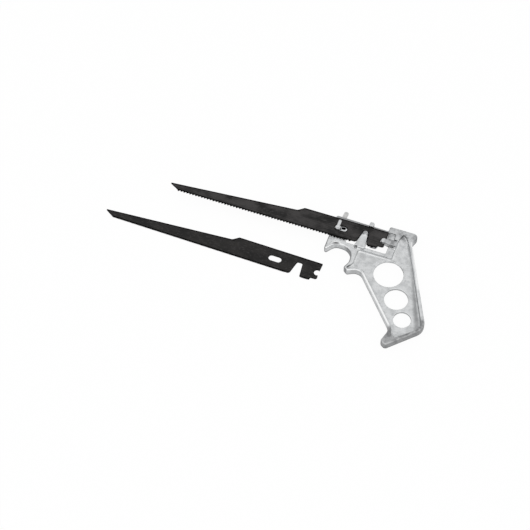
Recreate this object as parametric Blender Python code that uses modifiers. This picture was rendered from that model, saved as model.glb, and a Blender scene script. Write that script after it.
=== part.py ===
"""Keyhole saw with a cast pistol-grip handle, a mounted coarse blade and a spare fine blade.

The saw lies on its side, as on a bench: X runs along the blade from its tip (-X) to the grip (+X),
Y is the height of the saw when it is used (teeth towards -Y) and +Z is its thickness.
The origin is on the flat back of the handle, behind the upper finger horn.
All sizes are in millimetres and are turned into metres when a shape is made.
"""

import math

import bmesh
import bpy
from mathutils import Vector

MM = 0.001

# Fits between pieces
BLADE_SEAT_GAP = 0.4
BLADE_EDGE_GAP = 0.5
LATCH_GAP = 0.3
BORE_GAP = 0.3

# Blade, measured from the centre of its slot (rearwards and upwards)
BLADE_THICKNESS = 1.2
BLADE_TIP_X = -201.9
BLADE_TIP_Y = -5.3
BLADE_TIP_CUT_X = -190.8
BLADE_EDGE_Y = -12.2
BLADE_STEP_LOW_X = -53.5
BLADE_STEP_LOW_Y = 7.2
BLADE_STEP_TOP_X = -46.8
BLADE_TANG_TOP_Y = 12.4
BLADE_REAR_X = 52.1
SLOT_LENGTH = 15.0
SLOT_HEIGHT = 7.0
NOTCH_FOOT_FRONT_X = 21.0
NOTCH_TOP_FRONT_X = 24.8
NOTCH_TOP_REAR_X = 30.9
NOTCH_FOOT_REAR_X = 33.0
NOTCH_TOP_Y = 5.0
LOBE_REAR_X = 44.3
PRONG_LOW_Y = -8.9
FORK_X = 49.85
FORK_Y = -0.5
FORK_RADIUS = 3.6
FORK_MOUTH = 6.2

# Teeth
COARSE_PITCH = 3.5
COARSE_DEPTH = 1.6
COARSE_SET = 0.2
COARSE_RAKE = 0.3
FINE_PITCH = 1.06
FINE_DEPTH = 0.6
FINE_SET = 0.15
FINE_RAKE = 0.4
FINE_WAVE = 8
GULLET_WANDER = 0.06

# Where the blades are
SLOT_X = 0.0
SLOT_Y = 13.5
SPARE_X = -58.1
SPARE_Y = -43.1
SPARE_TURN = -1.34

# Handle casting
CAST_THICKNESS = 10.0
CAST_ROUND = 1.8
WEB_THICKNESS = 3.0
POCKET_FILLET = 1.2
COVE_FILLET = 3.3
COVE_LIFT = 0.15
TIP_FILLET = 0.8
ARM_TOP_Y = 29.2
ARM_FRONT_RISE = 1.2
ARM_THICKNESS = 4.8
ARM_LOW_Y = 6.5
RAIL_TOP_Y = -1.5
RAIL_LOW_Y = -5.1
DIMPLE_X = 22.8
DIMPLE_DIAMETER = 2.6
DIMPLE_DEPTH = 1.2
HORN_FRONT_X = -10.4
UPRIGHT_FRONT_X = 56.6
UPRIGHT_REAR_X = 64.6
CAP_TOP_Y = 35.5
GABLE_FOOT_Y = 17.0
GABLE_LIFT = 0.2
HOLE_1 = (67.2, -23.5, 33.2)
HOLE_2 = (84.7, -51.7, 26.4)
HOLE_3 = (98.5, -74.5, 19.5)

# Lugs that hold the blade
POST_RISE = 1.5
KNOB_DIAMETER = 5.8
KNOB_RISE = 1.4
PEG_RISE = 2.0
PEG_SEAT_DEPTH = 2.2
RELIEF_DEPTH = 1.6
STOP_X = 31.0
STOP_WIDTH = 5.2
STOP_TOP_Y = 32.2
STOP_RISE = 1.4
TONGUE_WIDTH = 2.1

# Turn latch
LATCH_X = -3.6
STEM_DIAMETER = 5.6
FINGER_LENGTH = 9.2
FINGER_WIDTH = 3.6
FINGER_THICKNESS = 2.3
SQUARE_SIDE = 3.6
LEVER_LENGTH = 28.0
LEVER_WIDTH = 5.0
LEVER_LEAN = 1.8
LEVER_EYE = 9.0
LEVER_THICKNESS = 2.2
SPRING_HEIGHT = 0.9
SPRING_SHEET = 0.5
SPRING_OUTER = 9.6
RIVET_DIAMETER = 6.4
RIVET_HEIGHT = 0.9

# Heights that follow from the sizes above
SEAT_Z = CAST_THICKNESS
BLADE_Z = SEAT_Z + BLADE_SEAT_GAP
BLADE_FACE_Z = BLADE_Z + BLADE_THICKNESS
ARM_BACK_Z = SEAT_Z - ARM_THICKNESS
WEB_LOW_Z = (CAST_THICKNESS - WEB_THICKNESS) / 2
WEB_HIGH_Z = WEB_LOW_Z + WEB_THICKNESS
SPRING_TOP_Z = ARM_BACK_Z - LATCH_GAP
LEVER_TOP_Z = SPRING_TOP_Z - SPRING_HEIGHT - LATCH_GAP
LEVER_LOW_Z = LEVER_TOP_Z - LEVER_THICKNESS
RIVET_TOP_Z = LEVER_LOW_Z - LATCH_GAP
ABOVE = CAST_THICKNESS + 5.0
BELOW = -5.0
ARC_STEP = math.radians(13.0)


for old in list(bpy.data.objects):
    bpy.data.objects.remove(old, do_unlink=True)

saw = bpy.data.collections.new("keyhole_saw")
cutters = bpy.data.collections.new("keyhole_saw_cutters")
bpy.context.scene.collection.children.link(saw)
bpy.context.scene.collection.children.link(cutters)


def fillet(corners):
    """Turn corners (x, y, radius) into outline points, with an arc at each rounded corner."""
    points = []
    for i, (x, y, radius) in enumerate(corners):
        here = Vector((x, y))
        before = (here - Vector(corners[i - 1][:2])).normalized()
        after = (Vector(corners[(i + 1) % len(corners)][:2]) - here).normalized()
        turn = math.atan2(before.x * after.y - before.y * after.x, before.dot(after))
        if radius <= 0 or abs(turn) < 0.01:
            points.append((x, y))
            continue
        start = here - before * radius * math.tan(abs(turn) / 2)
        side = math.copysign(1.0, turn)
        centre = start + Vector((-before.y, before.x)) * radius * side
        steps = max(2, math.ceil(abs(turn) / ARC_STEP))
        for k in range(steps + 1):
            angle = turn * k / steps
            arm = start - centre
            points.append((
                centre.x + arm.x * math.cos(angle) - arm.y * math.sin(angle),
                centre.y + arm.x * math.sin(angle) + arm.y * math.cos(angle),
            ))
    return points


def circle(x, y, diameter, steps=40):
    """Points round a circle."""
    return [
        (x + diameter / 2 * math.cos(2 * math.pi * k / steps), y + diameter / 2 * math.sin(2 * math.pi * k / steps))
        for k in range(steps)
    ]


def slab(name, outlines, low, high, rounding=0.0, collection=saw):
    """A flat outline, with holes where outlines lie inside it, from height low to height high."""
    curve = bpy.data.curves.new(name, "CURVE")
    curve.dimensions = "2D"
    curve.fill_mode = "BOTH"
    curve.extrude = ((high - low) / 2 - rounding) * MM
    curve.bevel_depth = rounding * MM
    curve.bevel_resolution = 2
    curve.offset = -rounding * MM
    for outline in outlines:
        spline = curve.splines.new("POLY")
        spline.points.add(len(outline) - 1)
        for point, (x, y) in zip(spline.points, outline):
            point.co = (x * MM, y * MM, 0.0, 1.0)
        spline.use_cyclic_u = True
    drawn = bpy.data.objects.new(name + "_outline", curve)
    drawn.location.z = (low + high) / 2 * MM
    collection.objects.link(drawn)
    bpy.context.view_layer.update()
    depsgraph = bpy.context.evaluated_depsgraph_get()
    mesh = bpy.data.meshes.new_from_object(drawn.evaluated_get(depsgraph))
    mesh.transform(drawn.matrix_world)
    bpy.data.objects.remove(drawn, do_unlink=True)
    return solid(name, mesh, collection)


def solid(name, mesh, collection):
    """Weld a mesh, point its faces outwards and place it as an object."""
    shape = bmesh.new()
    shape.from_mesh(mesh)
    bmesh.ops.remove_doubles(shape, verts=shape.verts, dist=0.000001)
    bmesh.ops.recalc_face_normals(shape, faces=shape.faces)
    shape.to_mesh(mesh)
    shape.free()
    mesh.name = name
    made = bpy.data.objects.new(name, mesh)
    collection.objects.link(made)
    if collection is cutters:
        made.hide_render = True
        made.display_type = "WIRE"
    return made


def rod(name, x, y, low, high, diameter, collection=cutters, segments=40):
    """A round bar along Z."""
    shape = bmesh.new()
    bmesh.ops.create_cone(
        shape, cap_ends=True, segments=segments, radius1=diameter / 2 * MM, radius2=diameter / 2 * MM,
        depth=(high - low) * MM,
    )
    bmesh.ops.translate(shape, verts=shape.verts, vec=Vector((x, y, (low + high) / 2)) * MM)
    mesh = bpy.data.meshes.new(name)
    shape.to_mesh(mesh)
    shape.free()
    return solid(name, mesh, collection)


def combine(target, tool, operation):
    """Cut a tool from a target, or join the two."""
    step = target.modifiers.new(tool.name, "BOOLEAN")
    step.object = tool
    step.operation = operation
    step.solver = "EXACT"


def finish(target, colour, roughness, metallic):
    """Give a piece its own material and smooth shading between sharp edges."""
    material = bpy.data.materials.new(target.name)
    material.use_nodes = True
    shader = material.node_tree.nodes["Principled BSDF"]
    shader.inputs["Base Color"].default_value = (*colour, 1.0)
    shader.inputs["Roughness"].default_value = roughness
    shader.inputs["Metallic"].default_value = metallic
    target.data.materials.append(material)
    target.data.shade_smooth()
    target.data.set_sharp_from_angle(angle=math.radians(30.0))


def blade_front(pitch, depth, rake):
    """Toothed edge of a blade from its tip to the notch; the gullets vary a little in depth, as ground."""
    root = BLADE_EDGE_Y + depth / 2
    run = NOTCH_FOOT_FRONT_X - 4.5 - BLADE_TIP_CUT_X
    count = int(run / pitch)
    points = []
    for k in range(count):
        x = BLADE_TIP_CUT_X + k * pitch
        points.append((x, root + GULLET_WANDER * math.sin(2.4 * k)))
        points.append((x + rake * pitch, root - depth))
    points.append((BLADE_TIP_CUT_X + count * pitch, root + GULLET_WANDER))
    return points


def blade_lobe(pitch, depth, rake):
    """Teeth on the lobe between the notch and the fork."""
    root = BLADE_EDGE_Y + depth / 2
    first = NOTCH_FOOT_REAR_X + 1.2
    count = int((LOBE_REAR_X - 1.0 - first) / pitch)
    points = []
    for k in range(count):
        x = first + k * pitch
        points.append((x, root))
        points.append((x + rake * pitch, root - depth))
    points.append((first + count * pitch, root))
    return points


def fork():
    """Round-bottomed notch in the rear end, from its lower mouth corner to its upper one."""
    half = FORK_MOUTH / 2
    start = math.asin(half / FORK_RADIUS)
    sweep = 2 * math.pi - 2 * start
    steps = 18
    points = []
    for k in range(steps + 1):
        angle = -start - sweep * k / steps
        points.append((FORK_X + FORK_RADIUS * math.cos(angle), FORK_Y + FORK_RADIUS * math.sin(angle)))
    return points


def blade(name, pitch, depth, rake, low):
    """A blade lying flat with the centre of its slot on the Z axis."""
    root = BLADE_EDGE_Y + depth / 2
    rear = BLADE_REAR_X
    notch = fillet([
        (NOTCH_FOOT_FRONT_X - 4.5, root, 0.0),
        (NOTCH_FOOT_FRONT_X, root, 3.2),
        (NOTCH_TOP_FRONT_X, NOTCH_TOP_Y, 2.0),
        (NOTCH_TOP_REAR_X, NOTCH_TOP_Y, 1.5),
        (NOTCH_FOOT_REAR_X, root, 0.8),
        (NOTCH_FOOT_REAR_X + 1.2, root, 0.0),
    ])[1:-1]
    prong_low = fillet([
        (LOBE_REAR_X - 1.0, root, 0.0),
        (LOBE_REAR_X, root, 0.6),
        (LOBE_REAR_X + 0.8, PRONG_LOW_Y, 0.8),
        (rear, PRONG_LOW_Y, 2.5),
        (rear, FORK_Y - FORK_MOUTH / 2, 0.0),
    ])[1:-1]
    back = fillet([
        (rear, FORK_Y + FORK_MOUTH / 2, 0.0),
        (rear, BLADE_TANG_TOP_Y, 0.8),
        (BLADE_STEP_TOP_X, BLADE_TANG_TOP_Y, 2.0),
        (BLADE_STEP_LOW_X, BLADE_STEP_LOW_Y, 5.0),
        (BLADE_TIP_X, BLADE_TIP_Y, 0.6),
        (BLADE_TIP_CUT_X, root, 0.0),
    ])[1:-1]
    outline = blade_front(pitch, depth, rake) + notch + blade_lobe(pitch, depth, rake)
    outline += prong_low + fork() + back
    half = SLOT_LENGTH / 2
    radius = SLOT_HEIGHT / 2 - 0.01
    slot = fillet([
        (-half, -SLOT_HEIGHT / 2, radius),
        (half, -SLOT_HEIGHT / 2, radius),
        (half, SLOT_HEIGHT / 2, radius),
        (-half, SLOT_HEIGHT / 2, radius),
    ])
    return slab(name, [outline, slot], low, low + BLADE_THICKNESS)


def set_teeth(target, depth, bend):
    """Push the tooth tips out of the blade's plane, tooth by tooth."""
    limit = (BLADE_EDGE_Y - depth * 0.25) * MM
    tips = sorted((v for v in target.data.vertices if v.co.y < limit), key=lambda v: v.co.x)
    places = sorted({round(v.co.x / MM, 3) for v in tips})
    order = {x: k for k, x in enumerate(places)}
    for vertex in tips:
        vertex.co.z += bend(order[round(vertex.co.x / MM, 3)]) * MM


def alternate(tooth):
    """Raker-free set: one tooth to each side in turn."""
    return COARSE_SET if tooth % 2 else -COARSE_SET


def wavy(tooth):
    """Wavy set of a fine blade."""
    return FINE_SET * math.sin(2 * math.pi * tooth / FINE_WAVE)


# Handle casting: outer outline, upper horn first and round by the grip
handle_outline = fillet([
    (HORN_FRONT_X, ARM_TOP_Y + ARM_FRONT_RISE, 2.0),
    (HORN_FRONT_X, -20.1, 2.0),
    (0.2, -6.5, 9.0),
    (20.2, -6.5, 13.0),
    (21.4, -24.5, 8.0),
    (17.6, -32.6, 2.4),
    (23.0, -36.7, 2.4),
    (35.8, -29.9, 10.0),
    (89.3, -91.7, 11.0),
    (84.0, -108.5, 4.0),
    (90.7, -113.3, 4.0),
    (126.4, -78.5, 14.0),
    (80.4, 21.2, 4.0),
    (85.8, CAP_TOP_Y, 5.0),
    (50.6, CAP_TOP_Y, 2.0),
    (50.6, ARM_TOP_Y, 1.5),
])
handle = slab("handle_casting", [handle_outline], 0.0, CAST_THICKNESS, CAST_ROUND)

# Pockets on both sides leave a thin web inside the rim
pocket_outline = fillet([
    (26.5, RAIL_LOW_Y, 3.6),
    (25.9, -24.0, 4.5),
    (38.0, -27.3, 9.0),
    (91.3, -88.6, 10.0),
    (95.2, -103.3, 4.0),
    (122.2, -79.1, 10.0),
    (75.9, 21.6, 3.6),
    (UPRIGHT_REAR_X, 21.6, 3.6),
    (UPRIGHT_REAR_X, RAIL_LOW_Y, 1.2),
])
back_pocket = slab("back_pocket", [pocket_outline], BELOW, WEB_LOW_Z, COVE_FILLET, cutters)
combine(handle, back_pocket, "DIFFERENCE")
front_outline = fillet([
    (26.5, RAIL_LOW_Y, 3.0),
    (25.9, -24.0, 4.5),
    (37.3, -27.9, 9.0),
    (90.6, -89.2, 10.0),
    (93.5, -101.4, 4.0),
    (117.8, -79.6, 8.0),
    (75.6, 20.6, 3.0),
    (UPRIGHT_REAR_X, 20.6, 3.0),
    (UPRIGHT_REAR_X, RAIL_LOW_Y, 1.2),
])
front_pocket = slab("front_pocket", [front_outline], WEB_HIGH_Z, ABOVE, POCKET_FILLET, cutters)
combine(handle, front_pocket, "DIFFERENCE")

# A cove that widens towards the foot, along the back strap and the foot
cove_outline = fillet([
    (92.5, -92.0, 0.0),
    (95.2, -103.3, 4.0),
    (122.2, -79.1, 10.0),
    (76.5, 21.8, 3.6),
    (69.0, 18.0, 0.0),
])
cove = slab("back_cove", [cove_outline], WEB_HIGH_Z + COVE_LIFT, ABOVE, COVE_FILLET, cutters)
combine(handle, cove, "DIFFERENCE")

# The pocket runs out into the lower horn, and ends in a gable under the cap
tip_outline = fillet([
    (28.0, -20.0, 0.0),
    (25.2, -26.0, 4.0),
    (20.6, -31.9, 1.4),
    (23.3, -33.7, 1.4),
    (36.0, -27.0, 3.0),
    (40.0, -24.0, 0.0),
])
horn_tip = slab("horn_tip_pocket", [tip_outline], WEB_HIGH_Z, ABOVE, TIP_FILLET, cutters)
combine(handle, horn_tip, "DIFFERENCE")
gable_outline = fillet([
    (UPRIGHT_REAR_X + 0.3, GABLE_FOOT_Y, 0.0),
    (UPRIGHT_REAR_X + 12.4, GABLE_FOOT_Y, 0.0),
    (UPRIGHT_REAR_X + 11.6, CAP_TOP_Y - 14.1, 1.5),
    (UPRIGHT_REAR_X + 8.2, CAP_TOP_Y - 8.7, 2.0),
    (UPRIGHT_REAR_X + 3.6, CAP_TOP_Y - 5.6, 1.0),
    (UPRIGHT_REAR_X + 1.0, CAP_TOP_Y - 12.5, 0.0),
])
gable = slab("gable_pocket", [gable_outline], WEB_HIGH_Z + GABLE_LIFT, ABOVE, TIP_FILLET, cutters)
combine(handle, gable, "DIFFERENCE")

# Three lightening holes through the web
for number, (x, y, diameter) in enumerate((HOLE_1, HOLE_2, HOLE_3), start=1):
    hole = rod("hole_%d" % number, x, y, BELOW, ABOVE, diameter, segments=48)
    combine(handle, hole, "DIFFERENCE")

# Window between the rail and the arm that carries the blade
window_outline = fillet([
    (9.0, RAIL_TOP_Y, 2.5),
    (UPRIGHT_FRONT_X, RAIL_TOP_Y, 1.5),
    (UPRIGHT_FRONT_X, SLOT_Y + 1.2, 1.5),
    (46.0, SLOT_Y + 1.2, 1.5),
    (43.0, ARM_LOW_Y, 2.0),
    (9.0, ARM_LOW_Y, 2.5),
])
window = slab("window", [window_outline], BELOW, ABOVE, 0.0, cutters)
combine(handle, window, "DIFFERENCE")

# The back of the arm is cut away where the latch lever swings
swing_outline = fillet([
    (HORN_FRONT_X - 8.0, ARM_LOW_Y - 2.0, 0.0),
    (36.0, ARM_LOW_Y - 2.0, 4.0),
    (36.0, ARM_TOP_Y + 12.0, 0.0),
    (HORN_FRONT_X - 8.0, ARM_TOP_Y + 12.0, 0.0),
])
swing = slab("lever_space", [swing_outline], BELOW, ARM_BACK_Z, 0.0, cutters)
combine(handle, swing, "DIFFERENCE")

# Shallow recess along the upper horn, and the seat round the root of the peg
horn_outline = fillet([
    (-5.6, -9.9, 0.5),
    (-0.8, -4.2, 5.0),
    (6.0, -4.2, 0.5),
    (6.0, -2.9, 0.5),
    (-1.7, -2.9, 5.0),
    (-5.6, -7.6, 0.5),
])
horn_recess = slab("horn_recess", [horn_outline], SEAT_Z - 1.6, ABOVE, 0.0, cutters)
combine(handle, horn_recess, "DIFFERENCE")
peg_seat_outline = fillet([
    (UPRIGHT_FRONT_X - 3.0, SLOT_Y - 6.2, 0.0),
    (UPRIGHT_REAR_X + 3.0, SLOT_Y - 6.2, 0.0),
    (UPRIGHT_REAR_X + 3.0, SLOT_Y + 6.4, 0.0),
    (UPRIGHT_FRONT_X - 3.0, SLOT_Y + 6.4, 0.0),
])
peg_seat = slab("peg_seat", [peg_seat_outline], SEAT_Z - PEG_SEAT_DEPTH, ABOVE, 0.0, cutters)
combine(handle, peg_seat, "DIFFERENCE")

# Relief behind the upper prong of the blade, under a ledge in line with the blade's back
ledge_y = SLOT_Y + BLADE_TANG_TOP_Y + BLADE_EDGE_GAP + 0.6
relief_outline = fillet([
    (SLOT_X + BLADE_REAR_X + 0.4, SLOT_Y + 5.4, 0.0),
    (SLOT_X + BLADE_REAR_X + 8.0, SLOT_Y + 5.4, 0.0),
    (SLOT_X + BLADE_REAR_X + 8.0, ledge_y, 1.2),
    (SLOT_X + BLADE_REAR_X + 0.4, ledge_y, 0.6),
])
relief = slab("prong_relief", [relief_outline], SEAT_Z - RELIEF_DEPTH, ABOVE, 0.0, cutters)
combine(handle, relief, "DIFFERENCE")

# Post that fills the blade's notch, with a round knob at its end
post_foot_y = RAIL_LOW_Y + 0.6
notch_rise = NOTCH_TOP_Y - BLADE_EDGE_Y
front_lean = (NOTCH_TOP_FRONT_X - NOTCH_FOOT_FRONT_X) / notch_rise
rear_lean = (NOTCH_TOP_REAR_X - NOTCH_FOOT_REAR_X) / notch_rise
post_top_y = SLOT_Y + NOTCH_TOP_Y - BLADE_EDGE_GAP
post_drop = SLOT_Y + NOTCH_TOP_Y - post_foot_y
post_rise = NOTCH_TOP_Y - BLADE_EDGE_GAP - NOTCH_TOP_Y
post_outline = fillet([
    (SLOT_X + NOTCH_TOP_FRONT_X - front_lean * post_drop + BLADE_EDGE_GAP, post_foot_y, 1.0),
    (SLOT_X + NOTCH_TOP_REAR_X - rear_lean * post_drop - BLADE_EDGE_GAP, post_foot_y, 1.0),
    (SLOT_X + NOTCH_TOP_REAR_X + rear_lean * post_rise - BLADE_EDGE_GAP, post_top_y, 1.6),
    (SLOT_X + NOTCH_TOP_FRONT_X + front_lean * post_rise + BLADE_EDGE_GAP, post_top_y, 2.0),
])
post_top_z = BLADE_FACE_Z + POST_RISE
post = slab("post", [post_outline], SEAT_Z - 2.5, post_top_z, 0.7, cutters)
combine(handle, post, "UNION")
knob_x = SLOT_X + (NOTCH_TOP_FRONT_X + NOTCH_TOP_REAR_X) / 2
knob_y = SLOT_Y + NOTCH_TOP_Y - BLADE_EDGE_GAP - KNOB_DIAMETER / 2
knob = slab("knob", [circle(knob_x, knob_y, KNOB_DIAMETER, 24)], SEAT_Z - 1.5, post_top_z + KNOB_RISE, 0.9, cutters)
combine(handle, knob, "UNION")

# Round-ended peg that fits the blade's fork, standing out from the upright
peg_radius = FORK_RADIUS - BLADE_EDGE_GAP
peg_waist = FORK_MOUTH / 2 - BLADE_EDGE_GAP
peg_x = SLOT_X + FORK_X
peg_y = SLOT_Y + FORK_Y
waist_x = SLOT_X + BLADE_REAR_X + 0.5
peg_turn = math.asin(peg_waist / peg_radius)
peg_steps = 16
peg_outline = []
for k in range(peg_steps + 1):
    angle = peg_turn + (2 * math.pi - 2 * peg_turn) * k / peg_steps
    peg_outline.append((peg_x + peg_radius * math.cos(angle), peg_y + peg_radius * math.sin(angle)))
peg_outline += fillet([
    (waist_x, peg_y - peg_waist, 0.0),
    (waist_x + 2.0, peg_y - 3.4, 1.0),
    (UPRIGHT_REAR_X + 0.6, peg_y - 3.4, 0.8),
    (UPRIGHT_REAR_X + 0.6, peg_y + 3.4, 0.8),
    (waist_x + 2.0, peg_y + 3.4, 1.0),
    (waist_x, peg_y + peg_waist, 0.0),
])
peg = slab("peg", [peg_outline], SEAT_Z - 3.5, BLADE_FACE_Z + PEG_RISE, 0.7, cutters)
combine(handle, peg, "UNION")

# Stop behind the back of the blade, opposite the post
stop_outline = fillet([
    (STOP_X - STOP_WIDTH / 2, SLOT_Y + BLADE_TANG_TOP_Y + BLADE_EDGE_GAP, 0.9),
    (STOP_X + STOP_WIDTH / 2, SLOT_Y + BLADE_TANG_TOP_Y + BLADE_EDGE_GAP, 0.9),
    (STOP_X + STOP_WIDTH / 2, STOP_TOP_Y, 1.4),
    (STOP_X - STOP_WIDTH / 2, STOP_TOP_Y, 1.4),
])
stop = slab("stop", [stop_outline], ARM_BACK_Z + 0.6, BLADE_FACE_Z + STOP_RISE, 0.7, cutters)
combine(handle, stop, "UNION")

# Hooked tongue in the blade's slot, beside the latch
tongue_end = SLOT_X + SLOT_LENGTH / 2 - BLADE_EDGE_GAP
tongue_low = SLOT_Y - SLOT_HEIGHT / 2 + BLADE_EDGE_GAP
tongue_start = LATCH_X + STEM_DIAMETER / 2 + 1.2
tongue_outline = fillet([
    (tongue_start, tongue_low, 0.6),
    (tongue_end, tongue_low, 2.8),
    (tongue_end, SLOT_Y + 1.6, 0.7),
    (tongue_end - TONGUE_WIDTH, SLOT_Y + 1.6, 0.7),
    (tongue_end - TONGUE_WIDTH, tongue_low + TONGUE_WIDTH, 0.6),
    (tongue_start, tongue_low + TONGUE_WIDTH, 0.6),
])
tongue = slab("tongue", [tongue_outline], SEAT_Z - 1.5, BLADE_FACE_Z, 0.0, cutters)
combine(handle, tongue, "UNION")

# Blind well behind the slot, and a dimple at the front end of the rail
slot_well_outline = fillet([
    (tongue_start, tongue_low + TONGUE_WIDTH + 0.2, 0.8),
    (tongue_end - TONGUE_WIDTH - 0.2, tongue_low + TONGUE_WIDTH + 0.2, 0.8),
    (tongue_end - TONGUE_WIDTH - 0.2, SLOT_Y + SLOT_HEIGHT / 2 - 0.3, 0.8),
    (tongue_start, SLOT_Y + SLOT_HEIGHT / 2 - 0.3, 0.8),
])
slot_well = slab("slot_well", [slot_well_outline], ARM_BACK_Z + 1.0, ABOVE, 0.0, cutters)
combine(handle, slot_well, "DIFFERENCE")
dimple = rod("rail_dimple", DIMPLE_X, RAIL_LOW_Y + 0.9, SEAT_Z - DIMPLE_DEPTH, ABOVE, DIMPLE_DIAMETER, segments=16)
combine(handle, dimple, "DIFFERENCE")

# Bore for the latch stem
bore = rod("stem_bore", LATCH_X, SLOT_Y, BELOW, ABOVE, STEM_DIAMETER + 2 * BORE_GAP, segments=32)
combine(handle, bore, "DIFFERENCE")
finish(handle, (0.62, 0.63, 0.64), 0.38, 1.0)

# Blades
coarse = blade("coarse_blade", COARSE_PITCH, COARSE_DEPTH, COARSE_RAKE, BLADE_Z)
set_teeth(coarse, COARSE_DEPTH, alternate)
coarse.location = Vector((SLOT_X, SLOT_Y, 0.0)) * MM
finish(coarse, (0.035, 0.033, 0.033), 0.55, 0.6)

fine = blade("fine_blade", FINE_PITCH, FINE_DEPTH, FINE_RAKE, FINE_SET)
set_teeth(fine, FINE_DEPTH, wavy)
fine.location = Vector((SPARE_X, SPARE_Y, 0.0)) * MM
fine.rotation_euler.z = math.radians(SPARE_TURN)
finish(fine, (0.035, 0.033, 0.033), 0.55, 0.6)

# Turn latch: key, lever and spring turn together about the stem
pivot = bpy.data.objects.new("latch_pivot", None)
pivot.location = Vector((LATCH_X, SLOT_Y, 0.0)) * MM
saw.objects.link(pivot)

finger_low = BLADE_FACE_Z + LATCH_GAP
finger_high = finger_low + FINGER_THICKNESS
half_finger = FINGER_WIDTH / 2
finger_outline = fillet([
    (-half_finger, -half_finger, 1.2),
    (half_finger, -half_finger, 1.2),
    (half_finger, FINGER_LENGTH, half_finger - 0.05),
    (-half_finger, FINGER_LENGTH, half_finger - 0.05),
])
key = rod("latch_key", 0.0, 0.0, LEVER_TOP_Z + LATCH_GAP / 2, finger_low + 0.6, STEM_DIAMETER, saw, 32)
finger = slab("latch_finger", [finger_outline], finger_low, finger_high, 0.6, cutters)
half_square = SQUARE_SIDE / 2
square_outline = fillet([
    (-half_square, -half_square, 0.3),
    (half_square, -half_square, 0.3),
    (half_square, half_square, 0.3),
    (-half_square, half_square, 0.3),
])
square = slab("latch_square", [square_outline], RIVET_TOP_Z - 0.3, LEVER_TOP_Z + 0.6, 0.0, cutters)
rivet = slab("latch_rivet", [circle(0.0, 0.0, RIVET_DIAMETER, 24)], RIVET_TOP_Z - RIVET_HEIGHT, RIVET_TOP_Z, 0.3, cutters)
for tool in (finger, square, rivet):
    combine(key, tool, "UNION")
    tool.parent = pivot
key.parent = pivot
finish(key, (0.66, 0.66, 0.66), 0.35, 1.0)

half_lever = LEVER_WIDTH / 2
half_eye = LEVER_EYE / 2
hole_side = half_square + BORE_GAP
lever_outline = fillet([
    (-half_eye, -half_eye, half_eye - 0.1),
    (half_eye, -half_eye, half_eye - 0.1),
    (half_eye, half_eye * 0.6, 2.0),
    (half_lever, half_eye + 4.0, 6.0),
    (LEVER_LEAN + half_lever, LEVER_LENGTH, 1.8),
    (LEVER_LEAN - half_lever, LEVER_LENGTH, 1.8),
    (-half_lever, half_eye + 4.0, 6.0),
    (-half_eye, half_eye * 0.6, 2.0),
])
lever_hole = fillet([
    (-hole_side, -hole_side, 0.3),
    (hole_side, -hole_side, 0.3),
    (hole_side, hole_side, 0.3),
    (-hole_side, hole_side, 0.3),
])
lever = slab("latch_lever", [lever_outline, lever_hole], LEVER_LOW_Z, LEVER_TOP_Z)
lever.parent = pivot
finish(lever, (0.62, 0.62, 0.62), 0.4, 1.0)

# Coned spring washer between the lever and the arm
spring_mesh = bpy.data.meshes.new("latch_spring")
profile = bmesh.new()
inner = STEM_DIAMETER / 2 + BORE_GAP
outer = SPRING_OUTER / 2
low = SPRING_TOP_Z - SPRING_HEIGHT
ring = [
    profile.verts.new(Vector((x, 0.0, z)) * MM)
    for x, z in (
        (outer, low + SPRING_SHEET),
        (outer, low),
        (inner, SPRING_TOP_Z - SPRING_SHEET),
        (inner, SPRING_TOP_Z),
    )
]
for k in range(4):
    profile.edges.new((ring[k], ring[(k + 1) % 4]))
profile.to_mesh(spring_mesh)
profile.free()
spring = bpy.data.objects.new("latch_spring", spring_mesh)
saw.objects.link(spring)
turn = spring.modifiers.new("turned", "SCREW")
turn.steps = 32
turn.render_steps = 32
turn.use_merge_vertices = True
turn.merge_threshold = 0.00001
spring.parent = pivot
finish(spring, (0.5, 0.5, 0.5), 0.35, 1.0)
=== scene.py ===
"""Looks of a keyhole saw: an open cast handle, the coarse blade mounted on it and a spare fine blade.

All lengths are in metres in the frame of the solids: +X along the blades towards the grip, +Y towards the
backs of the blades, +Z up from the bench that the saw lies on.
A fade is the two values between which a soft step runs, often followed by what it gives at each of them.
"""

import math
from collections import namedtuple
from types import SimpleNamespace

import bmesh
import bpy
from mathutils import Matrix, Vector, noise


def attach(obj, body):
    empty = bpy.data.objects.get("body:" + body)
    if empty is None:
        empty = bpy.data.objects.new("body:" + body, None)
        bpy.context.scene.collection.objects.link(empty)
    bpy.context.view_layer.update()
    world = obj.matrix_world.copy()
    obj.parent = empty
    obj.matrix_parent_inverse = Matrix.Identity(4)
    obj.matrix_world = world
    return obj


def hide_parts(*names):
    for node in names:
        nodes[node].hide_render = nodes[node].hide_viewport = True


MM = 0.001
WHITE = (1.0, 1.0, 1.0, 1.0)

# Kinds of named value: an oblong zone in plan, in millimetres along X and Y, and noise with its fade
Spot = namedtuple("Spot", "centre reach blur")
Mottle = namedtuple("Mottle", "size detail fade")

# View of the photograph
VIEW_AZIMUTH = math.radians(19.58)
VIEW_ELEVATION = math.radians(57.23)
VIEW_DISTANCE = 2.0
VIEW_WIDTH = 586.3 * MM
VIEW_CENTRE = Vector((-66.0, -53.8, 0.0)) * MM
SENSOR_WIDTH = 36.0

# Studio
KEY_PLACE = Vector((0.0, -0.5, 1.75))
KEY_SIZE = 2.2
KEY_POWER = 5.5
SKY_FILL = 0.85
FLOOR_COLOUR = (0.97, 0.97, 0.97, 1.0)
FLOOR_GLOW = 0.95
FLOOR_SIZE = 8.0
FLOOR_DROP = 0.2 * MM

# Skin of the casting
SKIN_WELD = 0.001 * MM
SKIN_MESH = 0.4 * MM
SKIN_PULL = 0.5
SKIN_SOFTENING = 14
SKIN_FILLING = 8
SKIN_WAVES = ((7.0 * MM, 0.07 * MM), (2.6 * MM, 0.03 * MM))

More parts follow.
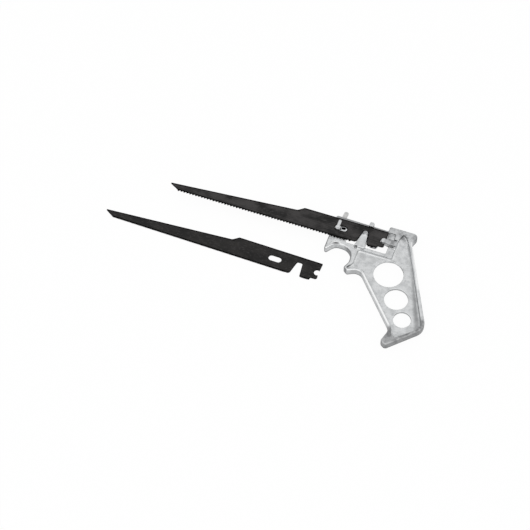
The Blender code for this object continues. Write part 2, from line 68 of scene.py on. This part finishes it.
# Colours of the metals, and of the painted shade and painted highlight on the casting
CAST_PALE = (0.63, 0.64, 0.645, 1.0)
CAST_GREY = (0.485, 0.495, 0.5, 1.0)
# grey of the painted shade on walls and left-facing edges, also of the darker cap, lugs and foot
CAST_SHADE_GREY = (0.25, 0.255, 0.26, 1.0)
# deep painted shade in corners, the crease, the dimple, the peg's seat, under the blade's back and on the
# foot's walls
CAST_DEEP_SHADE = (0.14, 0.14, 0.142, 1.0)
# painted highlight on straps, crests and open places, and wear on sharp edges
HIGHLIGHT_BRIGHT = (0.86, 0.865, 0.865, 1.0)
# painted shade: black standing in for the shadow in the well behind the slot
WELL_SHADE = (0.012, 0.012, 0.012, 1.0)
BLACK_DARK = (0.0025, 0.0022, 0.0022, 1.0)
BLACK_WARM = (0.042, 0.0395, 0.039, 1.0)
SPARE_WARM = (0.0165, 0.0152, 0.0142, 1.0)
BLACK_WORN = (0.05, 0.047, 0.047, 1.0)
PLATE_PALE = (0.62, 0.62, 0.61, 1.0)
PLATE_GREY = (0.44, 0.44, 0.44, 1.0)
SPRING_PALE = (0.42, 0.42, 0.43, 1.0)
SPRING_GREY = (0.26, 0.26, 0.28, 1.0)

# Zones of the casting in plan, in millimetres
SLOT = (0.0, 13.5)
WELL = Spot(SLOT, (9.0, 4.4), (0.5, 0.3))
PEG_SEAT = Spot((56.5, 18.0), (5.5, 8.0), (1.5, 2.0))
PEG = Spot((58.0, 13.0), (6.0, 3.4), (2.5, 0.6))
KNOB = Spot((27.8, 15.6), (2.6, 2.4), (1.0, 0.8))
DIMPLE = Spot((22.8, -4.2), (1.0, 1.0), (0.7, 0.7))
WINDOW_EDGE = Spot((56.6, 3.5), (1.5, 6.0), (1.0, 1.5))
LEDGE = Spot((19.0, 28.2), (27.0, 2.6), (3.0, 1.0))

# Fades along X and Y at the upper part of the casting, its cap and its finger guard
ZONE_BLUR = 6.0 * MM
UPPER_Y = -2.0 * MM
UPPER_REACH = 24.0 * MM
UPPER_BLUR = 0.5 * ZONE_BLUR
CAP_X = (47.0 * MM, 49.0 * MM)
CAP_Y = (18.0 * MM, 30.0 * MM)
GUARD_X = (34.0 * MM, 40.0 * MM)
GUARD_Y = -21.0 * MM
GUARD_REACH = 18.0 * MM
GUARD_BLUR = 0.5 * ZONE_BLUR

# The crease on the upper horn, darkened with painted shade: its middle, and its reach and blur along it and
# across it
CREASE = Vector((-0.4, -5.9, 0.0)) * MM
CREASE_ALONG = Vector((0.942, 0.335, 0.0))
CREASE_ACROSS = Vector((-0.335, 0.942, 0.0))
CREASE_LENGTH = (3.0 * MM, 3.0 * MM)
CREASE_WIDTH = (0.7 * MM, 0.9 * MM)

# Straps and foot of the grip: directions in plan, and fades measured along those directions
FRONT_OUT = Vector((-0.765, -0.644, 0.0))
FRONT_DOWN = Vector((0.644, -0.765, 0.0))
FRONT_FADE = (-12.5 * MM, -11.0 * MM)
FRONT_MIDDLE = 88.0 * MM
FRONT_REACH = 33.0 * MM
BACK_OUT = Vector((0.918, 0.397, 0.0))
BACK_DOWN = Vector((0.397, -0.918, 0.0))
BACK_STRAP = 80.0 * MM
BACK_REACH = 4.0 * MM
BACK_BLUR = 2.0 * MM
BACK_LENGTH = (5.0 * MM, 70.0 * MM)
UPPER_BACK = (71.0 * MM, 77.0 * MM)
COVE_OUT = Vector((0.94, 0.339, 0.0))
COVE_FADE = (78.0 * MM, 82.5 * MM)
COVE_CREST = (BACK_STRAP - 2.6 * MM, BACK_STRAP - 0.8 * MM)
COVE_END = (BACK_STRAP, BACK_STRAP + 1.0 * MM)
SPINE_FADE = (BACK_STRAP + 0.6 * MM, BACK_STRAP + 1.4 * MM)
SPINE_MIDDLE = 35.0 * MM
FOOT_OUT = Vector((0.543, -0.84, 0.0))
FOOT_FADE = (115.5 * MM, 127.5 * MM)

# Heights on the casting between which its zones begin or end
LOW_HEIGHTS = (1.8 * MM, 4.2 * MM)
CREASE_HEIGHTS = (3.0 * MM, 5.0 * MM)
WELL_FLOOR = (5.4 * MM, 5.8 * MM)
RIM_HEIGHTS = (7.6 * MM, 9.0 * MM)
STRAP_HIGHLIGHT_HEIGHTS = (8.4 * MM, 9.4 * MM)
WELL_TOP = (9.3 * MM, 9.9 * MM)
LEDGE_HEIGHTS = (10.0 * MM, 10.8 * MM)
LUG_HEIGHTS = (10.6 * MM, 11.4 * MM)

# Ways that the surface faces: how upright it is, and how far it turns to the left or the right
UPRIGHT_FADE = (0.25, 0.97, 0.85, 0.0)
CREST_LOW = (0.4, 0.6)
CREST_HIGH = (0.92, 0.99, 1.0, 0.0)
LEFT_FADE = (-0.85, -0.3, 1.0, 0.0)
SHADED_FADE = (-0.55, -0.1, 1.0, 0.0)
CAP_END_FADE = (0.15, 0.7)

# Mottling, grain and roughness of the casting
BLOTCHES = Mottle(7.0 * MM, 6.0, (0.36, 0.66))
BLOTCH_SHARE = 0.65
SPECKS = Mottle(2.2 * MM, 3.0, (0.42, 0.7))
SPECK_SHARE = 0.35
CORNER_SHADE_BREAKS = Mottle(4.0 * MM, 3.0, (0.2, 0.6, 0.2, 0.55))
BREAKS = Mottle(9.0 * MM, 2.0, (0.35, 0.6, 0.3, 0.75))
CAST_GRAIN = (0.9 * MM, 4.0)
CAST_RELIEF = (0.05 * MM, 0.6)
CAST_ROUGHNESS = (-0.2, 1.0, 0.38, 0.6)

# How strong the painted shade on the casting's walls, left-facing edges, low parts, cove and cap end is, and
# the darker mottle on cap, lugs and foot, from 0 to 1
WALL_SHARE = 0.65
WALL_SHADE_ON_GRIP = 0.15
WALL_SHADE_IN_LIGHT_ZONE = 0.12
GUARD_GRIP = 0.75
STRAP_SPARED = 0.7
STRAP_LEFT = 0.15
LOW_SHARE = 1.2
COVE_SHARES = (0.3, 0.85)
COVE_CREST_SHARE = 0.2
COVE_AT_FOOT = 0.5
CAP_SHARE = 0.75
CAP_END_SHARE = 1.3
CAP_MOTTLE = (0.35, 1.0)
FOOT_MOTTLE = (0.42, 0.8)
FOOT_WALL_SHADE = 0.7

# How strong the painted shade in the corners and hollows of the casting is, from 0 to 1
CORNER_SAMPLES = 8
CORNER_REACH = 4.0 * MM
CORNER_FADE = (0.3, 0.9, 1.0, 0.0)
CORNER_SHADE_IN_LIGHT_ZONE = 0.2
SEAT_FADE = (0.55, 0.97, 0.75, 0.08)
CREASE_SHARE = 0.95
DIMPLE_SHARE = 0.4
LEDGE_SHARE = 0.62

# How strong the painted highlight on the casting is, with wear on its sharp edges, from 0 to 1
EDGE_WEAR_AND_HIGHLIGHT_FADE = (0.505, 0.57)
EDGE_WEAR_AND_HIGHLIGHT_SHARES = (0.45, 0.06)
STRAP_HIGHLIGHT_SHARE = 0.9
SPINE_CAP_FADE = (0.0, 0.4, 0.8, 0.0)
OPEN_HIGHLIGHT_FADE = (0.5, 0.97, 0.9, 0.0)
UNBROKEN_FADE = (0.0, 0.5, 1.0, 0.0)
FOOT_HIGHLIGHT_FADE = (0.2, 0.7, 0.2, 0.12)

# Places of the blades, and their edges measured from the centre of the slot
MOUNTED_SLOT = Vector((*SLOT, 0.0)) * MM
SPARE_SLOT = Vector((-58.1, -43.1, 0.0)) * MM
SPARE_LEAN = math.radians(-1.34)
TAPER_OUT = Vector((-0.0839, 0.9965, 0.0))
TAPER_EDGE = 11.67 * MM
TAPER_END = (-51.0 * MM, -50.0 * MM)
TANG_EDGE = 12.4 * MM
TANG_START = (-50.0 * MM, -49.0 * MM)
TOOTH_EDGE = -12.0 * MM
EDGE_BAND = 0.9 * MM
RIM_REACH = 1.1 * MM
RIM_FADE = (0.6, 1.0, 1.0, 0.0)

# Blackened finish of the blades, with noise as size, detail and stretch along the axes
ROLLED_LINES = (0.6 * MM, 2.0, (0.02, 1.0, 1.0))
ROLLED_LINE_SHARE = 0.3
PATCHES = (12.0 * MM, 5.0, (0.6, 1.0, 1.0))
PATCH_SHARE = 0.7
FLECKS = (1.8 * MM, 3.0, (0.5, 1.0, 1.0))
FLECK_FADE = (0.5, 0.72, 0.0, 0.5)
BLACK_FADE = (0.38, 0.62)
BLACK_GLOSS = (0.22, 0.04)
BLACK_ROUGHNESS = (0.25, 0.75, 0.42, 0.58)
BLACK_RELIEF = (0.02 * MM, 0.35)

# Plain finish of the lever and the spring
DRAWN_LINES = (0.35 * MM, 3.0)
DRAWN_STRETCH = 0.06
DRAWN_LINE_SHARE = 0.6
HAZE = (4.0 * MM, 3.0)
HAZE_SHARE = 0.4
STEEL_FADE = (0.3, 0.7)
STEEL_ROUGHNESS = (0.28, 0.42)
STEEL_RELIEF = (0.01 * MM, 0.4)
LEVER_LINES_ALONG = 1
SPRING_LINES_ALONG = 2


def add(tree, kind, settings=None, **inputs):
    """A new node. Each input is a constant or the output of another node."""
    made = tree.nodes.new(kind)
    for key, value in (settings or {}).items():
        setattr(made, key, value)
    for key, value in inputs.items():
        put(tree, made.inputs[key], value)
    return made


def put(tree, socket, value):
    """Sets a socket to a constant, or joins it to another node's output."""
    if isinstance(value, bpy.types.NodeSocket):
        tree.links.new(value, socket)
    else:
        socket.default_value = value


def maths(tree, operation, first, second, clamped=True):
    """One sum on two values, held between 0 and 1 where it is clamped."""
    made = add(tree, "ShaderNodeMath", {"operation": operation, "use_clamp": clamped})
    put(tree, made.inputs[0], first)
    put(tree, made.inputs[1], second)
    return made.outputs[0]


def product(tree, first, *others):
    """Several values multiplied."""
    made = first
    for other in others:
        made = maths(tree, "MULTIPLY", made, other)
    return made


def greatest(tree, first, *others):
    """The greatest of several values."""
    made = first
    for other in others:
        made = maths(tree, "MAXIMUM", made, other)
    return made


def magnitude(tree, value):
    """A value without its sign."""
    made = add(tree, "ShaderNodeMath", {"operation": "ABSOLUTE"})
    put(tree, made.inputs[0], value)
    return made.outputs[0]


def along(tree, place, direction):
    """How far a place lies along a direction."""
    made = add(tree, "ShaderNodeVectorMath", {"operation": "DOT_PRODUCT"})
    put(tree, made.inputs[0], place)
    put(tree, made.inputs[1], direction)
    return made.outputs["Value"]


def parts_of(tree, vector):
    """The X, Y and Z of a vector."""
    return add(tree, "ShaderNodeSeparateXYZ", Vector=vector).outputs


def mixed(tree, share, first, second):
    """A colour between two colours."""
    made = add(tree, "ShaderNodeMix", {"data_type": "RGBA"})
    put(tree, made.inputs[0], share)
    put(tree, made.inputs[6], first)
    put(tree, made.inputs[7], second)
    return made.outputs[2]


def step(tree, value, low, high, start=0.0, end=1.0):
    """A soft step: start where the value is at low, end where it is at high."""
    made = add(tree, "ShaderNodeMapRange", {"interpolation_type": "SMOOTHSTEP"}, Value=value)
    for key, number in (("From Min", low), ("From Max", high), ("To Min", start), ("To Max", end)):
        made.inputs[key].default_value = number
    return made.outputs[0]


def within(tree, zone, outside, inside):
    """One number outside a zone and another inside it."""
    return step(tree, zone, 0.0, 1.0, outside, inside)


def near(tree, value, centre, reach, blur):
    """1 within reach of a place along one axis, falling to 0 over the blur."""
    offset = maths(tree, "SUBTRACT", value, centre, clamped=False)
    return step(tree, magnitude(tree, offset), reach, reach + blur, 1.0, 0.0)


def spot(tree, axes, zone):
    """1 inside an oblong zone in plan, falling to 0 over its blur."""
    sides = zip("XY", zone.centre, zone.reach, zone.blur)
    return product(tree, *(near(tree, axes[axis], centre * MM, reach * MM, blur * MM)
                           for axis, centre, reach, blur in sides))


def clouds(tree, place, size, detail, stretch=(1.0, 1.0, 1.0)):
    """Noise whose blotches are about this size, drawn out along an axis where stretch is small."""
    scaled = add(tree, "ShaderNodeMapping", Vector=place, Scale=stretch).outputs[0]
    made = add(tree, "ShaderNodeTexNoise", Vector=scaled, Scale=1.0 / size, Detail=detail)
    return made.outputs["Fac"]


def mottled(tree, place, kind):
    """Noise of one kind, with its fade."""
    return step(tree, clouds(tree, place, kind.size, kind.detail), *kind.fade)


def summed(tree, first, first_share, second, second_share):
    """A share of one value and a share of another, added."""
    return maths(tree, "ADD", product(tree, first, first_share), product(tree, second, second_share))


def openness(tree, reach, inside=False):
    """1 where nothing of the same piece is within reach of the surface, outside or inside the piece."""
    settings = {"samples": CORNER_SAMPLES, "only_local": True, "inside": inside}
    return add(tree, "ShaderNodeAmbientOcclusion", settings, Distance=reach).outputs["AO"]


def new_material(name):
    """An empty material with its tree, its surface shader and the object's own coordinates."""
    material = bpy.data.materials.new(name)
    material.use_nodes = True
    tree = material.node_tree
    surface = tree.nodes["Principled BSDF"]
    place = add(tree, "ShaderNodeTexCoord").outputs["Object"]
    return material, tree, surface, place


def bump(tree, surface, height, depth, strength):
    """Fine relief in the surface."""
    made = add(tree, "ShaderNodeBump", Height=height, Distance=depth, Strength=strength)
    put(tree, surface.inputs["Normal"], made.outputs[0])


def cast_zones(tree, place):
    """What the painted shade, painted highlight and mottle of the casting follow: its zones, and height,
    slope and place along the back strap.
    """
    axes = parts_of(tree, place)
    facing = parts_of(tree, add(tree, "ShaderNodeTexCoord").outputs["Normal"])
    zones = SimpleNamespace(height=axes["Z"], sideways=facing["X"], level=magnitude(tree, facing["Z"]))
    zones.across = along(tree, place, BACK_OUT)
    zones.down = along(tree, place, BACK_DOWN)

    zones.front = product(tree, step(tree, along(tree, place, FRONT_OUT), *FRONT_FADE),
                          near(tree, along(tree, place, FRONT_DOWN), FRONT_MIDDLE, FRONT_REACH, ZONE_BLUR))
    zones.strap = near(tree, zones.across, BACK_STRAP, BACK_REACH, BACK_BLUR)
    zones.foot = step(tree, along(tree, place, FOOT_OUT), *FOOT_FADE)
    zones.rim = step(tree, zones.height, *RIM_HEIGHTS)
    zones.cap = product(tree, step(tree, axes["Y"], *CAP_Y, 0.0, CAP_SHARE), step(tree, axes["X"], *CAP_X))
    zones.guard = product(tree, step(tree, axes["X"], *GUARD_X, 1.0, 0.0),
                          near(tree, axes["Y"], GUARD_Y, GUARD_REACH, GUARD_BLUR))

    # zone where the painted shade is lighter: the upper part of the casting and the back strap
    upper = product(tree, near(tree, axes["Y"], UPPER_Y, UPPER_REACH, UPPER_BLUR),
                    step(tree, zones.across, *UPPER_BACK, 1.0, 0.0))
    spared = product(tree, zones.strap, step(tree, zones.down, *BACK_LENGTH, STRAP_SPARED, 0.0))
    zones.clean = greatest(tree, upper, spared)

    # the tops of the knob and the peg
    lugs = greatest(tree, spot(tree, axes, KNOB), spot(tree, axes, PEG))
    zones.handled = product(tree, lugs, step(tree, zones.height, *LUG_HEIGHTS))
    zones.seat = spot(tree, axes, PEG_SEAT)
    zones.dimple = spot(tree, axes, DIMPLE)
    zones.ledge = product(tree, spot(tree, axes, LEDGE), step(tree, zones.height, *LEDGE_HEIGHTS, 1.0, 0.0))
    # the well behind the slot, painted black as shade
    zones.well = product(tree, spot(tree, axes, WELL), step(tree, zones.height, *WELL_FLOOR),
                         step(tree, zones.height, *WELL_TOP, 1.0, 0.0))
    lengthwise = near(tree, along(tree, place, CREASE_ALONG), CREASE.dot(CREASE_ALONG), *CREASE_LENGTH)
    crosswise = near(tree, along(tree, place, CREASE_ACROSS), CREASE.dot(CREASE_ACROSS), *CREASE_WIDTH)
    zones.crease = product(tree, lengthwise, crosswise, step(tree, zones.height, *CREASE_HEIGHTS))

    edges = greatest(tree, zones.guard, spot(tree, axes, WINDOW_EDGE))
    zones.shaded = product(tree, step(tree, zones.sideways, *SHADED_FADE), edges)
    return zones


def cast_shade_and_dark_zones(tree, place, zones, tone):
    """How far the casting is darkened: painted shade on walls, on edges that face left, low down, in the cove
    and at the cap's end, and a darker mottle on the cap, the lugs and the foot.
    """
    # painted shade on upright walls, lighter on the grip and in the lightly shaded zone
    upright = step(tree, zones.level, *UPRIGHT_FADE)
    grip_zone = greatest(tree, zones.front, product(tree, zones.guard, GUARD_GRIP))
    shade_and_dark_zones = product(tree, upright, within(tree, grip_zone, WALL_SHARE, WALL_SHADE_ON_GRIP),
                    within(tree, zones.clean, 1.0, WALL_SHADE_IN_LIGHT_ZONE))
    # painted shade on edges that face left
    left_edge_shade = product(tree, step(tree, zones.sideways, *LEFT_FADE), within(tree, zones.front, 1.0, 0.0),
                   within(tree, zones.strap, 1.0, STRAP_LEFT))
    # painted shade low down on the walls
    low = product(tree, upright, step(tree, zones.height, *LOW_HEIGHTS, LOW_SHARE, 0.0))
    # painted shadow of the back strap, in the cove beside it
    cove_shadow = product(tree, step(tree, along(tree, place, COVE_OUT), *COVE_FADE),
                   step(tree, zones.across, *COVE_END, 1.0, 0.0),
                   step(tree, zones.down, *BACK_LENGTH, *COVE_SHARES),
                   step(tree, zones.across, *COVE_CREST, 1.0, COVE_CREST_SHARE),
                   within(tree, zones.foot, 1.0, COVE_AT_FOOT))
    # darker mottle on the cap, on the tops of the knob and peg, and on the rim of the foot
    darker_cap_and_lugs = product(tree, greatest(tree, zones.cap, zones.handled), within(tree, tone, *CAP_MOTTLE))
    darker_foot_rim = product(tree, zones.foot, zones.rim, within(tree, tone, *FOOT_MOTTLE))
    # painted shade on the end of the cap, which faces right
    cap_end_shade = product(tree, step(tree, zones.sideways, *CAP_END_FADE), zones.cap, CAP_END_SHARE)
    return greatest(tree, shade_and_dark_zones, left_edge_shade, zones.shaded, low, cove_shadow, darker_cap_and_lugs, darker_foot_rim, cap_end_shade)


def cast_corner_shade(tree, place, zones, open_air):
    """Painted shade on the casting: in corners, in the peg's seat, in crease and dimple, and along the ledge
    under the blade's back.
    """
    # painted shade in corners, broken up by blotches, lighter in the lightly shaded zone
    corners = product(tree, step(tree, open_air, *CORNER_FADE), mottled(tree, place, CORNER_SHADE_BREAKS),
                      within(tree, zones.clean, 1.0, CORNER_SHADE_IN_LIGHT_ZONE))
    # painted shade in the peg's seat, the crease and the dimple, and under the blade's back
    seat = product(tree, zones.seat, step(tree, open_air, *SEAT_FADE))
    crease = product(tree, zones.crease, CREASE_SHARE)
    dimple = product(tree, zones.dimple, DIMPLE_SHARE)
    ledge = product(tree, zones.ledge, LEDGE_SHARE)
    return greatest(tree, corners, seat, crease, dimple, ledge)


def cast_highlight_and_wear(tree, place, zones, tone, open_air):
    """Painted highlight on the casting: on sharp edges, where it also stands for wear, on the straps, in open
    places of the lightly shaded zone and on rounded crests.
    """
    sharp = add(tree, "ShaderNodeNewGeometry").outputs["Pointiness"]
    kept = greatest(tree, zones.foot, zones.ledge, zones.cap, zones.clean)
    # brighter sharp edges: wear, and painted highlight
    edge_wear_and_highlight = product(tree, step(tree, sharp, *EDGE_WEAR_AND_HIGHLIGHT_FADE), within(tree, kept, *EDGE_WEAR_AND_HIGHLIGHT_SHARES))
    # painted highlight along the front strap and along the spine of the back strap
    strap_highlight = product(tree, zones.front, step(tree, zones.height, *STRAP_HIGHLIGHT_HEIGHTS, 0.0, STRAP_HIGHLIGHT_SHARE))
    spine_highlight = product(tree, step(tree, zones.across, *SPINE_FADE),
                    near(tree, zones.down, SPINE_MIDDLE, SPINE_MIDDLE, ZONE_BLUR),
                    step(tree, zones.cap, *SPINE_CAP_FADE), zones.rim)
    # painted highlight in open places of the lightly shaded zone, away from darkened spots
    darkened_spots = greatest(tree, zones.seat, zones.handled, zones.dimple)
    open_highlight = product(tree, zones.clean, step(tree, open_air, *OPEN_HIGHLIGHT_FADE), within(tree, darkened_spots, 1.0, 0.0))
    # painted highlight on the rounded crests of the guard and the foot, broken up by blotches
    unbroken = step(tree, greatest(tree, zones.shaded, zones.crease), *UNBROKEN_FADE)
    guard = product(tree, zones.guard, mottled(tree, place, BREAKS), unbroken)
    foot_highlight = product(tree, zones.foot, step(tree, tone, *FOOT_HIGHLIGHT_FADE))
    crest_highlights = product(tree, step(tree, zones.level, *CREST_LOW), step(tree, zones.level, *CREST_HIGH),
                     zones.rim, greatest(tree, guard, foot_highlight))
    return greatest(tree, edge_wear_and_highlight, strap_highlight, spine_highlight, open_highlight, crest_highlights)


def cast_metal(name):
    """Bright cast metal: mottled skin, painted shade on walls and in corners, a darker mottle on cap, lugs
    and foot, painted highlights on edges, straps and crests, and painted shade in the well.
    """
    material, tree, surface, place = new_material(name)
    zones = cast_zones(tree, place)
    open_air = openness(tree, CORNER_REACH)
    blotches = mottled(tree, place, BLOTCHES)
    specks = mottled(tree, place, SPECKS)
    tone = summed(tree, blotches, BLOTCH_SHARE, specks, SPECK_SHARE)
    shade_and_dark_zones = cast_shade_and_dark_zones(tree, place, zones, tone)
    highlight_and_wear = cast_highlight_and_wear(tree, place, zones, tone, open_air)

    colour = mixed(tree, tone, CAST_PALE, CAST_GREY)
    # painted shade on walls and edges, and the darker cap, lugs and foot
    colour = mixed(tree, shade_and_dark_zones, colour, CAST_SHADE_GREY)
    # deeper painted shade on the walls of the foot
    colour = mixed(tree, product(tree, shade_and_dark_zones, zones.foot, FOOT_WALL_SHADE), colour, CAST_DEEP_SHADE)
    # painted shade in corners and hollows
    colour = mixed(tree, cast_corner_shade(tree, place, zones, open_air), colour, CAST_DEEP_SHADE)
    # painted highlight, and wear on sharp edges
    colour = mixed(tree, highlight_and_wear, colour, HIGHLIGHT_BRIGHT)
    # painted shade: black in the well behind the slot
    colour = mixed(tree, zones.well, colour, WELL_SHADE)
    put(tree, surface.inputs["Base Color"], colour)
    put(tree, surface.inputs["Metallic"], 1.0)
    rough_tone = maths(tree, "SUBTRACT", tone, highlight_and_wear)
    put(tree, surface.inputs["Roughness"], step(tree, rough_tone, *CAST_ROUGHNESS))
    bump(tree, surface, clouds(tree, place, *CAST_GRAIN), *CAST_RELIEF)
    return material


def blade_edges(tree, place):
    """1 along the edges of a blade and round its slot, with places measured from the centre of the slot."""
    axes = parts_of(tree, place)
    rims = step(tree, openness(tree, RIM_REACH, inside=True), *RIM_FADE)
    toothed = near(tree, axes["Y"], TOOTH_EDGE, EDGE_BAND, EDGE_BAND)
    taper = product(tree, near(tree, along(tree, place, TAPER_OUT), TAPER_EDGE, EDGE_BAND, EDGE_BAND),
                    step(tree, axes["X"], *TAPER_END, 1.0, 0.0))
    tang = product(tree, near(tree, axes["Y"], TANG_EDGE, EDGE_BAND, EDGE_BAND),
                   step(tree, axes["X"], *TANG_START))
    return greatest(tree, rims, toothed, taper, tang)


def black_steel(name, slot, lean, warm):
    """Blackened sheet steel: faint rolling lines along the blade, paler flecks and blacker edges."""
    material, tree, surface, place = new_material(name)
    turned = add(tree, "ShaderNodeMapping", {"vector_type": "TEXTURE"}, Vector=place, Location=slot,
                 Rotation=(0.0, 0.0, lean)).outputs[0]
    lines = clouds(tree, turned, *ROLLED_LINES)
    patches = clouds(tree, turned, *PATCHES)
    flecks = step(tree, clouds(tree, turned, *FLECKS), *FLECK_FADE)
    edges = blade_edges(tree, turned)
    tone = summed(tree, lines, ROLLED_LINE_SHARE, patches, PATCH_SHARE)

    colour = mixed(tree, step(tree, tone, *BLACK_FADE), BLACK_DARK, warm)
    colour = mixed(tree, flecks, colour, BLACK_WORN)
    put(tree, surface.inputs["Base Color"], mixed(tree, edges, colour, BLACK_DARK))
    put(tree, surface.inputs["Specular IOR Level"], within(tree, edges, *BLACK_GLOSS))
    put(tree, surface.inputs["Roughness"], step(tree, patches, *BLACK_ROUGHNESS))
    bump(tree, surface, lines, *BLACK_RELIEF)
    return material


def plain_steel(name, pale, grey, lines_along):
    """Plated or drawn steel with fine lines along one axis."""
    material, tree, surface, place = new_material(name)
    stretch = [DRAWN_STRETCH if axis == lines_along else 1.0 for axis in range(3)]
    lines = clouds(tree, place, *DRAWN_LINES, stretch)
    tone = summed(tree, lines, DRAWN_LINE_SHARE, clouds(tree, place, *HAZE), HAZE_SHARE)
    put(tree, surface.inputs["Base Color"], mixed(tree, step(tree, tone, *STEEL_FADE), pale, grey))
    put(tree, surface.inputs["Metallic"], 1.0)
    put(tree, surface.inputs["Roughness"], step(tree, tone, *STEEL_FADE, *STEEL_ROUGHNESS))
    bump(tree, surface, lines, *STEEL_RELIEF)
    return material


def dress(thing, material):
    """Gives a piece one material."""
    thing.data.materials.clear()
    thing.data.materials.append(material)


def new_object(name, data):
    """A new object in the scene."""
    made = bpy.data.objects.new(name, data)
    bpy.context.scene.collection.objects.link(made)
    return made


def smoothing(thing, name, pull, rounds):
    """Draws the surface of a piece together, or out again where the pull is negative."""
    made = thing.modifiers.new(name, "SMOOTH")
    made.factor = pull
    made.iterations = rounds


def cast_skin(name, solid):
    """A copy of a casting with the soft edges and the slightly uneven faces that a mould leaves."""
    skin = new_object(name, solid.data.copy())
    welded = bmesh.new()
    welded.from_mesh(skin.data)
    bmesh.ops.remove_doubles(welded, verts=welded.verts, dist=SKIN_WELD)
    welded.to_mesh(skin.data)
    welded.free()

    even = skin.modifiers.new("even_mesh", "REMESH")
    even.mode = "VOXEL"
    even.voxel_size = SKIN_MESH
    smoothing(skin, "soft_edges", SKIN_PULL, SKIN_SOFTENING)
    smoothing(skin, "full_size", -SKIN_PULL, SKIN_FILLING)
    shaped = skin.evaluated_get(bpy.context.evaluated_depsgraph_get())
    rough = skin.data
    skin.data = bpy.data.meshes.new_from_object(shaped)
    skin.modifiers.clear()
    bpy.data.meshes.remove(rough)

    normals = [vertex.normal.copy() for vertex in skin.data.vertices]
    for vertex, normal in zip(skin.data.vertices, normals):
        for size, depth in SKIN_WAVES:
            vertex.co -= normal * depth * (0.5 + 0.5 * noise.noise(vertex.co / size))
    skin.data.shade_smooth()
    return skin


def aimed(direction):
    """The rotation of a camera or a lamp that looks along a direction."""
    return direction.to_track_quat("-Z", "Y").to_euler()


def camera_at_view():
    """The camera of the photograph."""
    towards = Vector((math.sin(VIEW_AZIMUTH) * math.cos(VIEW_ELEVATION),
                      -math.cos(VIEW_AZIMUTH) * math.cos(VIEW_ELEVATION),
                      math.sin(VIEW_ELEVATION)))
    lens = bpy.data.cameras.new("camera")
    lens.sensor_width = SENSOR_WIDTH
    lens.lens = SENSOR_WIDTH * VIEW_DISTANCE / VIEW_WIDTH
    camera = new_object("camera", lens)
    camera.location = VIEW_CENTRE + towards * VIEW_DISTANCE
    camera.rotation_euler = aimed(-towards)
    bpy.context.scene.camera = camera


def seen_directly(tree):
    """1 for what the camera sees straight, in a reflection or through glass."""
    path = add(tree, "ShaderNodeLightPath").outputs
    return greatest(tree, path["Is Camera Ray"], path["Is Glossy Ray"], path["Is Transmission Ray"])


def broad_lamp():
    """One broad lamp above the saw."""
    lamp = bpy.data.lights.new("key", "AREA")
    lamp.energy = KEY_POWER
    lamp.size = KEY_SIZE
    key = new_object("key", lamp)
    key.location = KEY_PLACE
    key.rotation_euler = aimed(VIEW_CENTRE - KEY_PLACE)


def white_room():
    """Even light from all round, seen as white."""
    world = bpy.data.worlds.new("studio")
    world.use_nodes = True
    tree = world.node_tree
    background = tree.nodes["Background"]
    put(tree, background.inputs["Color"], WHITE)
    put(tree, background.inputs["Strength"], within(tree, seen_directly(tree), SKY_FILL, 1.0))
    bpy.context.scene.world = world


def pale_floor():
    """A pale floor that is seen as nearly white and keeps a faint shadow."""
    half = FLOOR_SIZE / 2
    sheet = bpy.data.meshes.new("floor")
    corners = [(-half, -half, -FLOOR_DROP), (half, -half, -FLOOR_DROP),
               (half, half, -FLOOR_DROP), (-half, half, -FLOOR_DROP)]
    sheet.from_pydata(corners, [], [(0, 1, 2, 3)])
    floor = new_object("floor", sheet)

    material = bpy.data.materials.new("pale_floor")
    material.use_nodes = True
    tree = material.node_tree
    tree.nodes.remove(tree.nodes["Principled BSDF"])
    paper = add(tree, "ShaderNodeBsdfDiffuse", Color=FLOOR_COLOUR).outputs[0]
    white = add(tree, "ShaderNodeEmission", Strength=1.0).outputs[0]
    both = add(tree, "ShaderNodeMixShader", Fac=product(tree, seen_directly(tree), FLOOR_GLOW))
    put(tree, both.inputs[1], paper)
    put(tree, both.inputs[2], white)
    put(tree, tree.nodes["Material Output"].inputs["Surface"], both.outputs[0])
    dress(floor, material)


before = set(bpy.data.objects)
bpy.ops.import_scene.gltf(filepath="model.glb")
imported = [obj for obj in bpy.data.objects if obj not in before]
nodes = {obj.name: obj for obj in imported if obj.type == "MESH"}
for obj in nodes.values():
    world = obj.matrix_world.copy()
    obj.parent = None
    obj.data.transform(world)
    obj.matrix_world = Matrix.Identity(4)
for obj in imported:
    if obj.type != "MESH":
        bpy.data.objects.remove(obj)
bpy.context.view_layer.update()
bpy.context.scene.view_settings.view_transform = "Standard"
camera_at_view()
broad_lamp()
white_room()
pale_floor()

handle = cast_skin("handle_casting_skin", nodes["handle_casting"])
dress(handle, cast_metal("cast_handle"))
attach(handle, "handle")
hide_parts("handle_casting")

dress(nodes["coarse_blade"], black_steel("mounted_black", MOUNTED_SLOT, 0.0, BLACK_WARM))
dress(nodes["fine_blade"], black_steel("spare_black", SPARE_SLOT, SPARE_LEAN, SPARE_WARM))
dress(nodes["latch_key"], cast_metal("cast_latch"))
dress(nodes["latch_lever"], plain_steel("plated_lever", PLATE_PALE, PLATE_GREY, LEVER_LINES_ALONG))
dress(nodes["latch_spring"], plain_steel("spring_wire", SPRING_PALE, SPRING_GREY, SPRING_LINES_ALONG))
